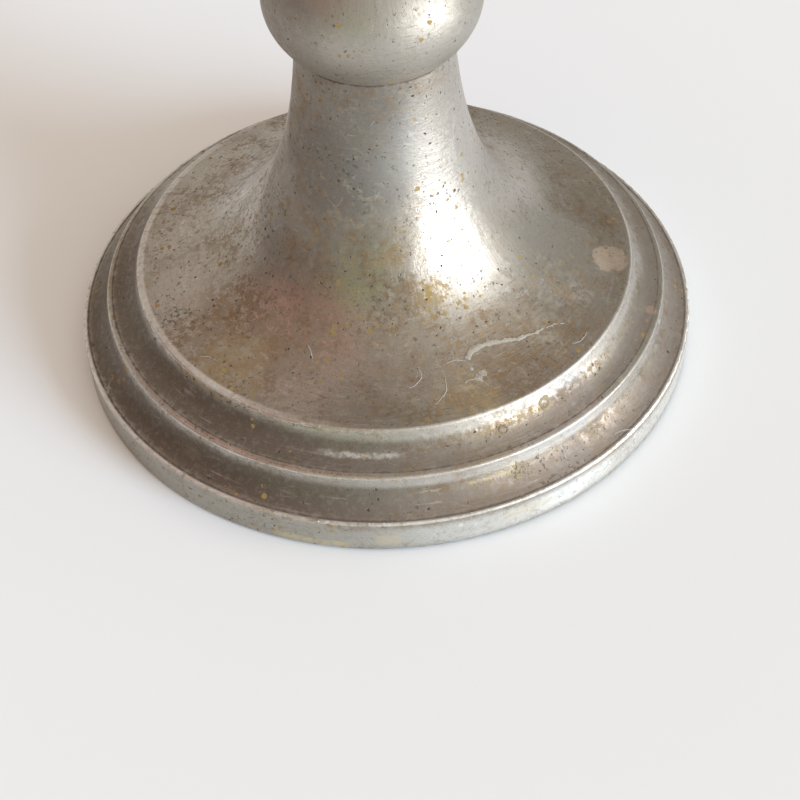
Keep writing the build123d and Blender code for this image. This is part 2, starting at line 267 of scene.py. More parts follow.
def warped(g, place, scale, reach, detail=2.0):
    """The place pushed about by up to about reach millimetres, to fray an outline."""
    return g.vector("ADD", place, g.vector("SCALE", noise_vector(g, place, scale, detail), scale=reach * 2))


def ring_distance(g, radius, z, ring_radius, ring_height):
    """Distance from a ring round the axis."""
    out = g.math("SUBTRACT", radius, ring_radius)
    up = g.math("SUBTRACT", z, ring_height)
    return g.math("SQRT", g.math("ADD", g.math("MULTIPLY", out, out), g.math("MULTIPLY", up, up)))


def on_side(g, around, side, strength):
    """strength on the side that faces that angle, fading to 0 behind; strength all round for None."""
    if side is None:
        return strength
    facing = g.vector("DOT_PRODUCT", around, turned_place(1.0, 0.0, side))
    return g.step(facing, *SIDE_FADE, 0.0, strength)


def turned_place(radius, height, angle):
    """The point of the turned surface at that radius, height and angle in degrees."""
    return (radius * math.cos(math.radians(angle)), radius * math.sin(math.radians(angle)), height)


class Coat:
    """The metal's colour, metalness and roughness as they build up, one mask at a time."""

    def __init__(self, g, colour, metallic, roughness):
        self.g, self.colour, self.metallic, self.roughness = g, colour, metallic, roughness

    def cover(self, mask, colour, dull=0.0, rough=0.0):
        """Lays a colour over the mask, takes away dull of the metalness and adds rough."""
        g = self.g
        self.colour = g.mix(mask, self.colour, colour)
        if dull:
            self.metallic = g.math("SUBTRACT", self.metallic, g.math("MULTIPLY", mask, dull), clamp=True)
        if rough:
            self.roughness = g.math("ADD", self.roughness, g.math("MULTIPLY", mask, rough))


def worn_plate(name, tarnish=0.0, sheen=0.0, creases=(), edges=(), films=(), blotches=(), bands=(),
               flecked=(), clean_patches=(), spotted=(), pitting=0.8, flecking=0.055):
    """Nickel plate on a turned casting: brushed round the axis, pitted, tarnished and stained.

    tarnish above 0 thickens the brown film and sheen above 0 makes the metal smoother. A crease is
    (radius, height, half-width) and is darkened as painted shade with grime. An edge is (radius, height,
    half-width, cover, side), where side is the angle that it faces, or None all round, and a film has a
    colour after that. Edges are brightened as wear with a painted highlight, and films on the side away
    from the window paint shade as well as tarnish. A blotch is (place, radius, softness, colour, cover,
    the share of the cover that lies between its grains) and a band is (radius, height, angle, half-length,
    half-width, colour, cover). flecked lists (place, radius, softness) where dark flecks crowd together,
    and clean_patches lists (place, radius, softness, cover) where clean silver is laid: handling wear, and
    on the neck's window side a painted highlight.
    spotted lists (place, radius, softness) where golden-brown specks cluster, pitting is the pits' size and
    flecking is how freely dark flecks spread elsewhere.
    """
    material, g, shader, place = new_material(name)
    x, y, z = g.split(place)
    radius = g.vector("LENGTH", g.join(x, y, 0.0))
    safe_radius = g.math("MAXIMUM", radius, 0.01)
    around = g.join(g.math("DIVIDE", x, safe_radius), g.math("DIVIDE", y, safe_radius), 0.0)

    # Turning and polishing lines: long along the turn, fine across it.
    profile = g.math("ADD", radius, g.math("MULTIPLY", z, 0.83))
    long_lines = g.noise(g.vector("SCALE", around, scale=2.6), 1.0, 3.0, 0.7,
                         w=g.math("MULTIPLY", profile, 2.2))
    short_lines = g.noise(g.vector("SCALE", around, scale=14.0), 1.0, 4.0, 0.72,
                          w=g.math("MULTIPLY", profile, 1.8))
    lines = g.blend(0.6, long_lines, short_lines)

    clouds = g.noise(place, 0.055, 4.0, 0.6)
    swells = g.noise(place, 0.14, 2.0, 0.5)
    mottle = g.noise(place, 0.80, 9.0, 0.74)
    grain = g.noise(place, 3.2, 3.0, 0.65)

    coat = Coat(g, g.mix(g.step(clouds, 0.35, 0.65), SILVER, SILVER_DULL), 1.0,
                g.blend(clouds, *(level - sheen for level in PLATE_ROUGHNESS)))
    coat.cover(g.step(short_lines, 0.50, 0.74, 0.0, 0.55), SILVER_BRIGHT)
    coat.cover(g.step(long_lines, 0.42, 0.26, 0.0, 0.42), TARNISH_GREY)
    coat.cover(g.step(grain, 0.50, 0.70, 0.0, 0.42), TARNISH_BROWN, rough=0.1)
    coat.roughness = g.math("ADD", coat.roughness, g.math("MULTIPLY", g.math("SUBTRACT", lines, 0.5), 0.16))

    # A brown film made of fine speckles that crowd together where the metal was left wet.
    for centre, size, softness, colour, strength, between in blotches:
        spot = g.blob(warped(g, place, 1.3 / size, size * 0.42, 5.0), centre, size, softness)
        grains = g.step(g.math("ADD", mottle, g.math("MULTIPLY", spot, 0.10)), 0.52, 0.60,
                        strength * between, strength)
        coat.cover(g.math("MULTIPLY", g.step(spot, 0.05, 0.45), grains), colour, dull=0.30, rough=0.12)
    density = g.step(g.math("ADD", clouds, tarnish), 0.34, 0.68, 0.0, 0.15)
    speckle = g.step(g.math("ADD", mottle, density), 0.56, 0.68)
    warm = g.step(g.noise(place, 0.24, 3.0, 0.6), 0.40, 0.62)
    coat.cover(g.math("MULTIPLY", speckle, 0.72), g.mix(warm, TARNISH_GREY, TARNISH_BROWN),
               dull=0.15, rough=0.12)
    ochre = g.math("ADD", g.noise(place, 1.5, 6.0, 0.7), g.math("MULTIPLY", density, 0.6))
    ochre = g.step(ochre, 0.62, 0.70)
    coat.cover(g.math("MULTIPLY", ochre, 0.7), TARNISH_OCHRE, dull=0.25, rough=0.12)

    # Clean silver patches: handling wear, and a painted highlight where they sit on the window side.
    for centre, size, softness, strength in clean_patches:
        clean = g.blob(warped(g, place, 0.12, 2.0), centre, size, softness)
        coat.cover(g.math("MULTIPLY", clean, strength), SILVER_CLEAN)

    # Dull film in the bottom of the coves and down the wall; where it lies on the side away from the window
    # it is also painted shade.
    film_wear = g.step(g.noise(place, 1.0, 6.0, 0.72), 0.50, 0.62, 0.0, 0.18)
    for ring_radius, ring_height, width, strength, side, colour in films:
        near = ring_distance(g, radius, z, ring_radius, ring_height)
        ragged = g.math("ADD", near, g.math("MULTIPLY", g.math("SUBTRACT", mottle, 0.5), width * 1.1))
        film = g.math("MULTIPLY", g.step(ragged, width, width * 0.55), on_side(g, around, side, strength))
        coat.cover(film, colour, dull=0.35, rough=0.10)
        coat.cover(g.math("MULTIPLY", film, film_wear), SILVER_DULL)

    # Dark flecks of no particular shape, and short dark scratches that follow the turning.
    fleck_zone = g.step(g.noise(place, 0.085, 4.0, 0.6), 0.40, 0.62, 0.0, flecking)
    for centre, size, softness in flecked:
        crowd = g.math("MULTIPLY", g.blob(place, centre, size, softness), 0.07)
        fleck_zone = g.math("ADD", fleck_zone, crowd)
    fleck = g.step(g.math("ADD", g.noise(place, 1.25, 5.0, 0.62), fleck_zone), 0.650, 0.685)
    coat.cover(g.math("MULTIPLY", fleck, 0.80), FLECK, dull=0.6, rough=0.25)
    scratch = g.noise(g.vector("SCALE", around, scale=5.0), 1.0, 3.0, 0.6, w=g.math("MULTIPLY", profile, 7.0))
    scratch_zone = g.step(g.noise(place, 0.11, 3.0, 0.6), 0.44, 0.62)
    coat.cover(g.math("MULTIPLY", g.step(scratch, 0.60, 0.66, 0.0, 0.50), scratch_zone), SCRATCH_DARK,
               rough=0.1)
    coat.cover(g.math("MULTIPLY", g.step(scratch, 0.40, 0.34, 0.0, 0.16), scratch_zone), SILVER_BRIGHT)

    # Golden-brown specks in loose clusters.
    speck_distance, speck_colour = g.cells(warped(g, place, 1.9, 0.42, 3.0), 0.80)
    speck_pick = g.split(speck_colour)[0]
    speck_zone = g.step(g.noise(place, 0.15, 4.0, 0.66), 0.52, 0.62)
    for centre, size, softness in spotted:
        cluster = g.blob(warped(g, place, 0.4, 1.5), centre, size, softness)
        speck_zone = g.math("MAXIMUM", speck_zone, cluster)
    speck_size = g.math("MULTIPLY", g.math("POWER", speck_pick, 2.0), g.blend(speck_zone, 0.06, 0.52))
    speck = g.step(g.math("SUBTRACT", speck_distance, speck_size), 0.04, -0.10, 0.0, 0.9)
    coat.cover(speck, GOLD_SPOT, dull=0.55, rough=0.2)

    # Small black pits, round or comma-shaped, big ones rare.
    pit_distance, pit_colour = g.cells(warped(g, place, 2.4, 0.34), 0.92)
    pit_pick = g.split(pit_colour)[1]
    pit_zone = g.step(g.noise(place, 0.13, 5.0, 0.68), 0.40, 0.62, 0.55, 1.0)
    pit_size = g.math("MULTIPLY", g.math("POWER", pit_pick, 1.6),
                      g.math("MULTIPLY", pit_zone, 0.34 * pitting))
    pit = g.step(g.math("SUBTRACT", pit_distance, pit_size), 0.02, -0.07)
    coat.cover(pit, PIT_BLACK, dull=0.9, rough=0.35)

    # Hair-fine curved scratches, pale where they cut fresh metal.
    hair = g.noise(place, 0.16, 1.0, 0.4)
    hair = g.step(g.math("ABSOLUTE", g.math("SUBTRACT", hair, 0.5)), 0.0030, 0.0008)
    hair = g.math("MULTIPLY", hair, g.step(g.noise(place, 0.31, 1.0, 0.5), 0.55, 0.62, 0.0, 0.20))
    coat.cover(hair, SILVER_BRIGHT)

    # Bright metal on the edges, rubbed wear with a painted highlight, and dark in the creases, painted shade
    # with grime.
    for ring_radius, ring_height, width, strength, side in edges:
        near = ring_distance(g, radius, z, ring_radius, ring_height)
        edge_wear_and_highlight = g.math("MULTIPLY", g.step(near, width, width * 0.35), g.step(mottle, 0.68, 0.46, 0.35, 1.0))
        coat.cover(g.math("MULTIPLY", edge_wear_and_highlight, on_side(g, around, side, strength)), SILVER_BRIGHT, rough=-0.03)
    # Creases darkened: painted shade in the hollows, with some grime.
    for ring_radius, ring_height, width in creases:
        near = ring_distance(g, radius, z, ring_radius, ring_height)
        ragged = g.math("ADD", near, g.math("MULTIPLY", g.math("SUBTRACT", mottle, 0.5), width * 3.0))
        coat.cover(g.step(ragged, width, width * 0.15, 0.0, 0.88), CREASE_SHADE_AND_GRIME, dull=0.5, rough=0.25)

    # Worn or crusted bands that follow the turning.
    for ring_radius, ring_height, angle, half_length, half_width, colour, strength in bands:
        frayed = warped(g, place, 1.2, half_width * 0.8, 3.0)
        out = turned_place(1.0, 0.0, angle)
        along = g.math("ABSOLUTE", g.vector("DOT_PRODUCT", frayed, (-out[1], out[0], 0.0)))
        frayed_x, frayed_y, frayed_z = g.split(frayed)
        frayed_radius = g.vector("LENGTH", g.join(frayed_x, frayed_y, 0.0))
        across = ring_distance(g, frayed_radius, frayed_z, ring_radius, ring_height)
        band = g.math("MULTIPLY", g.step(along, half_length * 1.15, half_length * 0.6),
                      g.step(across, half_width * 1.3, half_width * 0.5))
        facing = g.step(g.vector("DOT_PRODUCT", place, out), 0.0, 5.0)
        band = g.math("MULTIPLY", g.math("MULTIPLY", band, facing),
                      g.step(mottle, 0.38, 0.56, 0.1, strength))
        coat.cover(band, colour, dull=0.5, rough=0.15)

    normal = g.bump(swells, 0.35, SWELL_DEPTH)
    normal = g.bump(lines, 1.0, LINE_DEPTH, normal)
    normal = g.bump(grain, 0.20, GRAIN_DEPTH, normal)
    normal = g.bump(speckle, 0.15, SPECKLE_DEPTH, normal)
    normal = g.bump(g.math("SUBTRACT", 1.0, pit), 0.6, PIT_DEPTH, normal)

    tangent = g.add("ShaderNodeTangent", direction_type="RADIAL", axis="Z")
    g.put(coat.colour, shader.inputs["Base Color"])
    g.put(coat.metallic, shader.inputs["Metallic"])
    g.put(coat.roughness, shader.inputs["Roughness"])
    g.put(normal, shader.inputs["Normal"])
    g.put(tangent.outputs[0], shader.inputs["Tangent"])
    shader.inputs["Anisotropic"].default_value = PLATE_ANISOTROPY
    shader.inputs["Anisotropic Rotation"].default_value = QUARTER_TURN
    return material


def use(node, material):
    """Gives a CAD node its finished material."""
    for material_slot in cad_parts[node].material_slots:
        material_slot.material = material


# Rings of the foot's profile, as (radius, height): the CAD model's own edges.
WALL_EDGE = (55.7, 6.7)
WALL_CREASE = (55.1, 6.8)
TREAD_OUTER = (50.8, 12.4)
TREAD_CREASE = (49.8, 12.9)
FLARE_EDGE = (44.7, 17.5)
NECK_SEAM = (13.1, 63.1)

# Angles round the foot: the side that faces the window, where bright metal is painted on as highlight, and
# the side away from it, where dark film is painted on as shade over the tarnish.
WINDOW_SIDE = -38
SHADED_SIDE = -145
WALL_SHADED_SIDE = -130
WALL_WINDOW_SIDE = -22
RUBBED_SIDE = -165

FOOT_BLOTCHES = (
    # The first two darken the neck's side away from the window: smoke film and painted shade.
    ((-6.5, -13.0, 54.0), 13.0, 6.0, SMOKE_AND_SHADE_FILM, 0.88, 0.85),
    ((-12.0, -11.0, 40.0), 12.0, 7.0, SMOKE_AND_SHADE_FILM, 0.70, 0.85),
    (turned_place(36.0, 20.0, -141), 9.5, 5.0, TARNISH_BROWN, 0.92, 0.22),
    (turned_place(40.0, 19.0, -131), 6.0, 3.0, TARNISH_OCHRE, 0.95, 0.35),
    (turned_place(31.0, 21.5, -118), 6.0, 4.0, TARNISH_BROWN, 0.70, 0.15),
    (turned_place(37.6, 19.7, -166), 7.0, 5.0, TARNISH_GREY, 0.4, 0.1),
    (turned_place(38.4, 19.2, -57), 9.5, 5.0, TARNISH_BROWN, 0.92, 0.30),
    (turned_place(41.0, 18.8, -72), 5.0, 3.5, TARNISH_OCHRE, 0.85, 0.30),
    (turned_place(33.5, 20.7, -80), 7.0, 5.0, TARNISH_BROWN, 0.65, 0.12),
    (turned_place(38.5, 19.2, -37), 8.5, 5.0, TARNISH_BROWN, 0.70, 0.10),
    (turned_place(31.5, 21.3, -14), 8.5, 6.0, TARNISH_GREY, 0.95, 0.60),
    (turned_place(40.9, 18.3, -8.6), 3.0, 0.8, PINK_BLOTCH, 0.80, 0.9),
    (turned_place(49.2, 12.9, -17), 0.9, 0.4, COPPER_SPOT, 0.9, 0.9),
    (turned_place(25.0, 26.6, -72), 3.2, 2.2, GOLD_SPOT, 0.85, 0.05),
    (turned_place(20.0, 33.5, -86), 2.2, 1.6, GOLD_SPOT, 0.75, 0.05),
    (turned_place(49.5, 12.8, -48), 5.0, 3.0, TARNISH_BROWN, 0.75, 0.15),
    (turned_place(54.3, 7.4, -52), 5.5, 3.0, TARNISH_OCHRE, 0.70, 0.20),
    (turned_place(46.6, 14.6, -68), 5.0, 3.5, TARNISH_OCHRE, 0.70, 0.10),
    (turned_place(53.2, 8.4, -85), 6.0, 3.5, TARNISH_BROWN, 0.70, 0.20),
    (turned_place(51.9, 9.2, -66.0), 2.0, 0.7, OCHRE_CRUST, 0.85, 0.35),
    (turned_place(48.2, 13.4, -50), 5.0, 2.6, COVE_PINK, 0.75, 0.80),
    (turned_place(53.5, 8.0, -59), 6.5, 2.6, COVE_PINK, 0.85, 0.85),
)
# Clean silver: handling wear on the flare, and on the neck's window side a painted highlight.
FOOT_CLEAN_AND_HIGHLIT = (
    (turned_place(37.0, 19.8, -166), 7.0, 5.0, 0.55),
    ((12.5, -8.0, 47.0), 12.0, 7.0, 0.80),
    ((16.0, -13.0, 33.0), 8.0, 6.0, 0.55),
)
FOOT_SPOTTED = (
    ((7.6, -23.9, 26.6), 4.0, 3.0), ((3.0, -17.6, 38.0), 3.0, 2.0), ((12.0, -14.5, 38.0), 4.0, 4.0),
    ((13.0, -23.5, 24.5), 4.0, 3.0), ((-6.0, -22.5, 29.0), 3.5, 2.5), ((-24.0, -33.0, 18.8), 4.0, 3.0),
)
KNOP_RUBBED = (((4.0, -14.0, 72.0), 14.0, 8.0, 0.25),)
KNOP_BLOTCHES = (
    ((0.0, 0.0, 71.0), 40.0, 2.0, TARNISH_GREY, 0.70, 0.85),
    # Smoke film and painted shade on the knop's side away from the window.
    ((-13.0, -9.0, 71.0), 7.0, 5.0, SMOKE_AND_SHADE_FILM, 0.45, 0.8),
    ((5.0, -13.0, 64.0), 4.0, 3.0, TARNISH_BROWN, 0.5, 0.2),
)
FOOT_FLECKED = (
    (turned_place(42.0, 18.6, -46), 5.5, 4.0), (turned_place(42.0, 18.6, -158), 5.0, 3.0),
    (turned_place(43.0, 18.3, -128), 4.0, 3.0), (turned_place(37.0, 19.8, -148), 4.0, 3.0),
    (turned_place(23.5, 28.0, -92), 5.0, 4.0), (turned_place(14.5, 47.0, -112), 4.0, 3.0),
    (turned_place(47.3, 14.0, -112), 5.0, 3.0), (turned_place(53.5, 8.0, -58), 4.5, 3.0),
)
FOOT_BANDS = (
    (46.8, 13.6, -96, 7.5, 0.7, CHALK, 0.45),
    (47.4, 13.1, -97, 6.5, 0.35, RUST, 0.75),
    (51.6, 9.6, -72, 3.8, 0.25, OCHRE_CRUST, 0.8),
    (56.0, 1.6, -104, 7.0, 0.7, OCHRE_CRUST, 0.75),
    (56.0, 3.0, -91, 2.2, 1.3, OCHRE_CRUST, 0.5),
    (56.0, 4.0, -66, 5.5, 0.9, OCHRE_CRUST, 0.5),
)

use("base_shell", worn_plate(
    "worn_plate_foot",
    tarnish=0.03,
    # The creases are darkened as painted shade with grime.
    creases=((*WALL_CREASE, 0.30), (*TREAD_CREASE, 0.26), (*NECK_SEAM, 0.45)),
    edges=(
        # All-round edges: wear with a painted highlight. The wall and cove bands on the window side paint a
        # highlight.
        (*WALL_EDGE, 0.5, 0.8, None), (*TREAD_OUTER, 0.45, 0.35, None), (*FLARE_EDGE, 0.5, 0.45, None),
        (44.0, 17.8, 0.8, 0.55, RUBBED_SIDE), (56.0, 3.4, 3.4, 0.85, WALL_WINDOW_SIDE),
        (51.0, 11.6, 1.5, 0.40, WINDOW_SIDE), (45.2, 16.6, 1.6, 0.40, WINDOW_SIDE),
    ),
    films=(
        (53.6, 7.8, 2.9, 0.75, WINDOW_SIDE, COVE_FILM), (48.3, 13.2, 2.1, 0.65, WINDOW_SIDE, COVE_FILM),
        # The dark films on the side away from the window paint shade as well as tarnish.
        (53.0, 9.0, 3.9, 0.93, SHADED_SIDE, COVE_TARNISH_AND_SHADE), (47.3, 14.4, 3.7, 0.88, SHADED_SIDE, COVE_TARNISH_AND_SHADE),
        (56.0, 3.4, 3.6, 0.75, WALL_SHADED_SIDE, WALL_FILM_AND_SHADE),
    ),
    blotches=FOOT_BLOTCHES,
    flecked=FOOT_FLECKED,
    clean_patches=FOOT_CLEAN_AND_HIGHLIT,
    spotted=FOOT_SPOTTED,
    bands=FOOT_BANDS,
))
use("lower_knop", worn_plate(
    "worn_plate_knop",
    tarnish=-0.06,
    sheen=-0.04,
    pitting=0.6,
    flecking=0.03,
    # The seam under the knop is darkened as painted shade with grime.
    creases=((*NECK_SEAM, 0.5),),
    blotches=KNOP_BLOTCHES,
    clean_patches=KNOP_RUBBED,
))
for plated in ("lower_collar", "stem_column", "upper_collar", "upper_knop", "socket_head"):
    use(plated, worn_plate("worn_plate_" + plated, tarnish=-0.04, sheen=0.02))
use("drip_pan", worn_plate("worn_plate_pan", tarnish=0.02))

# ---------------------------------------------------------------- smaller metal parts


def part_metal(name, colour, shade, stain, stain_cover, roughness, line_scale=4.0, along_axis=False):
    """A plain metal part: tool lines, uneven oxide in shade and freckles of stain."""
    material, g, shader, place = new_material(name)
    x, y, z = g.split(place)
    radius = g.vector("LENGTH", g.join(x, y, 0.0))
    if along_axis:
        wide_x = g.math("MULTIPLY", x, line_scale)
        wide_y = g.math("MULTIPLY", y, line_scale)
        lines = g.noise(g.join(wide_x, wide_y, z), 1.0, 3.0)
    else:
        across = g.math("MULTIPLY", g.math("ADD", radius, z), line_scale)
        lines = g.noise(g.join(across, g.math("MULTIPLY", x, 0.2), g.math("MULTIPLY", y, 0.2)), 1.0, 3.0)
    oxide = g.noise(place, 0.30, 6.0, 0.65)
    freckle = g.step(g.noise(place, 1.4, 7.0, 0.72), 0.56, 0.64, 0.0, stain_cover)
    coat = Coat(g, g.mix(g.step(oxide, 0.38, 0.62), colour, shade), 1.0,
                g.blend(oxide, roughness - 0.05, roughness + 0.10))
    coat.cover(g.step(lines, 0.35, 0.60, 0.30, 0.0), shade)
    coat.cover(freckle, stain, dull=0.6, rough=0.3)
    normal = g.bump(lines, 0.35, 0.05)
    normal = g.bump(freckle, 0.4, 0.04, normal)
    g.put(coat.colour, shader.inputs["Base Color"])
    g.put(coat.metallic, shader.inputs["Metallic"])
    g.put(coat.roughness, shader.inputs["Roughness"])
    g.put(normal, shader.inputs["Normal"])
    return material


IRON_OXIDE = (0.105, 0.100, 0.096)
IRON_RUST = (0.215, 0.105, 0.055)


def cast_iron():
    """Rough sand-cast iron with a thin dark oxide and rust in its hollows."""
    material, g, shader, place = new_material("raw_cast_iron")
    sand = g.noise(place, 1.3, 5.0, 0.7)
    rust = g.step(g.noise(place, 0.16, 6.0, 0.7), 0.48, 0.62)
    g.put(g.mix(rust, IRON_OXIDE, IRON_RUST), shader.inputs["Base Color"])
    g.put(g.blend(rust, 0.55, 0.10), shader.inputs["Metallic"])
    g.put(g.blend(sand, 0.50, 0.85), shader.inputs["Roughness"])
    g.put(g.bump(sand, 0.8, 0.25), shader.inputs["Normal"])
    return material


MILL_STEEL = (0.46, 0.45, 0.43)
MILL_STEEL_SHADE = (0.33, 0.32, 0.31)
ZINC = (0.60, 0.62, 0.64)
ZINC_SHADE = (0.47, 0.49, 0.50)
ZINC_BLOOM = (0.62, 0.60, 0.55)
BRASS = (0.66, 0.49, 0.22)
BRASS_BROWN = (0.38, 0.25, 0.115)
BRASS_STAIN = (0.20, 0.13, 0.07)
GROUND_STEEL = (0.50, 0.49, 0.47)
GROUND_STEEL_SHADE = (0.30, 0.28, 0.26)

use("ballast_ring", cast_iron())
use("base_cover", part_metal("mill_steel", MILL_STEEL, MILL_STEEL_SHADE, RUST, stain_cover=0.5,
                             roughness=0.42))
for zinc_part in ("cover_screws", "tie_rod", "rod_washer", "rod_spring_washer", "rod_nut"):
    use(zinc_part, part_metal("zinc_" + zinc_part, ZINC, ZINC_SHADE, ZINC_BLOOM, stain_cover=0.4,
                              roughness=0.36))
for brass_part in ("pan_spigot", "pricket_washer"):
    use(brass_part, part_metal("brass_" + brass_part, BRASS, BRASS_BROWN, BRASS_STAIN, stain_cover=0.55,
                               roughness=0.32))
use("pricket", part_metal("pricket_steel_ground", GROUND_STEEL, GROUND_STEEL_SHADE, RUST, stain_cover=0.75,
                          roughness=0.38, along_axis=True))

# ---------------------------------------------------------------- felt under the foot
FELT_GREEN = (0.042, 0.092, 0.052)
FELT_PALE = (0.135, 0.190, 0.115)
FELT_FADED = (0.165, 0.185, 0.120)
FELT_DUST = (0.34, 0.32, 0.27)


def felt_material():
    """Matted wool felt: tangled fibres, pressed and faded patches, a scuffed rim and dust."""
    material, g, shader, place = new_material("green_wool_felt")
    x, y, z = g.split(place)
    radius = g.vector("LENGTH", g.join(x, y, 0.0))
    tangled = warped(g, place, 0.35, 2.6, 4.0)
    fibres = g.noise(g.vector("MULTIPLY", tangled, (2.6, 0.5, 1.0)), 1.0, 5.0, 0.72)
    crossing = g.noise(g.vector("MULTIPLY", tangled, (0.5, 2.6, 1.0)), 1.0, 5.0, 0.72)
    wool = g.math("MAXIMUM", fibres, crossing)
    pressed = g.noise(place, 0.06, 5.0, 0.65)
    pilling = g.step(g.noise(place, 0.45, 5.0, 0.7), 0.50, 0.66)
    colour = g.mix(g.step(wool, 0.48, 0.70), FELT_GREEN, FELT_PALE)
    colour = g.mix(g.step(pressed, 0.42, 0.60, 0.0, 0.65), colour, FELT_FADED)
    colour = g.mix(g.math("MULTIPLY", pilling, 0.35), colour, FELT_PALE)
    worn_rim = g.step(g.math("ADD", radius, g.math("MULTIPLY", pressed, 9.0)), 50.0, 56.0, 0.0, 0.7)
    colour = g.mix(worn_rim, colour, FELT_FADED)
    colour = g.mix(g.step(g.noise(place, 0.9, 6.0, 0.75), 0.60, 0.70, 0.0, 0.8), colour, FELT_DUST)
    g.put(colour, shader.inputs["Base Color"])
    g.put(g.blend(pressed, 0.98, 0.86), shader.inputs["Roughness"])
    shader.inputs["Specular IOR Level"].default_value = 0.15
    shader.inputs["Sheen Weight"].default_value = 0.35
    shader.inputs["Sheen Roughness"].default_value = 0.5
    g.put(g.bump(wool, 0.9, 0.30), shader.inputs["Normal"])
    return material


def disc_mesh(name, rows, around):
    """A closed turned mesh. rows are functions of the angle that give (radius, height), in millimetres."""
    mesh = bmesh.new()
    loops = []
    for row in rows:
        loop = []
        for step in range(around):
            angle = 2 * math.pi * step / around
            radius, height = row(angle)
            x, y = radius * math.cos(angle) * MM, radius * math.sin(angle) * MM
            loop.append(mesh.verts.new((x, y, height * MM)))
        loops.append(loop)
    for lower, upper in zip(loops, loops[1:]):
        for step in range(around):
            after = (step + 1) % around
            mesh.faces.new((lower[step], lower[after], upper[after], upper[step]))
    for loop in (loops[0], loops[-1]):
        centre = mesh.verts.new(sum((v.co for v in loop), Vector()) / around)
        for step in range(around):
            mesh.faces.new((loop[step], loop[(step + 1) % around], centre))
    bmesh.ops.recalc_face_normals(mesh, faces=mesh.faces)
    return finish_mesh(name, mesh)


def finish_mesh(name, mesh):
    """A smooth-shaded piece of the scene from a bmesh."""
    data = bpy.data.meshes.new(name)
    mesh.to_mesh(data)
    mesh.free()
    for polygon in data.polygons:
        polygon.use_smooth = True
    piece = bpy.data.objects.new(name, data)
    bpy.context.scene.collection.objects.link(piece)
    return piece


FELT_ROWS = 46
FELT_AROUND = 220
FELT_SAG = 0.11
FELT_EDGE_WOBBLE = 0.22
FELT_FRAY = 0.10
FELT_MATTING = 0.55
# The rim's rounding, as degrees round its half-circle section, and the rings that close the glued back.
FELT_RIM_TILTS = (35, 60, 90, 120, 150)
FELT_BACK_SHARES = (1.0, 0.5, 0.05)


def make_felt():
    """The felt disc: soft rounded rim, uneven cut, and an underside matted by years on tables."""
    _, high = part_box("felt_pad")
    outer, thick = high.x / MM - FELT_EDGE_WOBBLE, high.z / MM

    def cut(angle):
        return FELT_EDGE_WOBBLE * noise.noise(Vector((math.cos(angle) * 5, math.sin(angle) * 5, 3.0)))

    def underside(radius):
        def row(angle):
            spot = Vector((radius * math.cos(angle), radius * math.sin(angle), 0.0))
            matting = noise.noise(spot * 0.22) + 0.6 * noise.noise(spot * 0.9)
            matting += 0.35 * noise.noise(spot * 2.3)
            return radius + cut(angle) * radius / outer, FELT_SAG * (1.0 + FELT_MATTING * matting)
        return row

    def rim(tilt):
        def row(angle):
            bulge = thick / 2 * math.sin(math.radians(tilt))
            fray = FELT_FRAY * noise.noise(Vector((math.cos(angle) * 40, math.sin(angle) * 40, tilt * 0.05)))
            height = thick / 2 - thick / 2 * math.cos(math.radians(tilt))
            return outer - thick / 2 + bulge + cut(angle) + fray, max(height, FELT_SAG)
        return row

    def back(radius):
        return lambda angle: (radius + cut(angle) * radius / outer, thick)

    flat = outer - thick / 2
    rows = [underside(flat * (index + 1) / FELT_ROWS) for index in range(FELT_ROWS)]
    rows += [rim(tilt) for tilt in FELT_RIM_TILTS]
    rows += [back(flat * share) for share in FELT_BACK_SHARES]
    felt = disc_mesh("felt_disc", rows, FELT_AROUND)
    felt.data.materials.append(felt_material())
    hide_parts("felt_pad")
    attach(felt, "stand")


make_felt()

# ---------------------------------------------------------------- dried deposits on the foot


def surface_of(node):
    """A search tree of a CAD node's surface, in millimetres."""
    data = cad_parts[node].data
    points = [vertex.co / MM for vertex in data.vertices]
    return BVHTree.FromPolygons(points, [tuple(polygon.vertices) for polygon in data.polygons])


FOOT_SURFACE = surface_of("base_shell")
ABOVE_FOOT = 70.0
CRUST_ROOT = 0.03


def on_foot(x, y):
    """(point, normal) of the foot's upper surface under x, y."""
    point, normal, _, _ = FOOT_SURFACE.ray_cast(Vector((x, y, ABOVE_FOOT)), Vector((0, 0, -1)))
    return point, normal


def crust(name, centre, reach, spacing, height, material):
    """A thin closed crust on the foot. height(point) is its thickness, 0 or less for none."""
    mesh = bmesh.new()
    count = int(reach / spacing)
    grid = {}
    for i in range(-count, count + 1):
        for j in range(-count, count + 1):
            x, y = centre[0] + i * spacing, centre[1] + j * spacing
            point, normal = on_foot(x, y)
            thickness = height(point)
            if thickness > 0:
                top = mesh.verts.new((point + normal * thickness) * MM)
                root = mesh.verts.new((point - normal * CRUST_ROOT) * MM)
                grid[i, j] = (top, root)
    cells = [((i, j), (i + 1, j), (i + 1, j + 1), (i, j + 1)) for i, j in grid
             if all(corner in grid for corner in ((i + 1, j), (i + 1, j + 1), (i, j + 1)))]
    sides = set()
    for cell in cells:
        mesh.faces.new([grid[corner][0] for corner in cell])
        mesh.faces.new([grid[corner][1] for corner in reversed(cell)])
        for start, end in zip(cell, cell[1:] + cell[:1]):
            if (end, start) in sides:
                sides.remove((end, start))
            else:
                sides.add((start, end))
    for start, end in sorted(sides):
        mesh.faces.new((grid[end][0], grid[start][0], grid[start][1], grid[end][1]))
    bmesh.ops.delete(mesh, geom=[v for v in mesh.verts if not v.link_faces], context="VERTS")
    piece = finish_mesh(name, mesh)
    piece.data.materials.append(material)
    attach(piece, "stand")


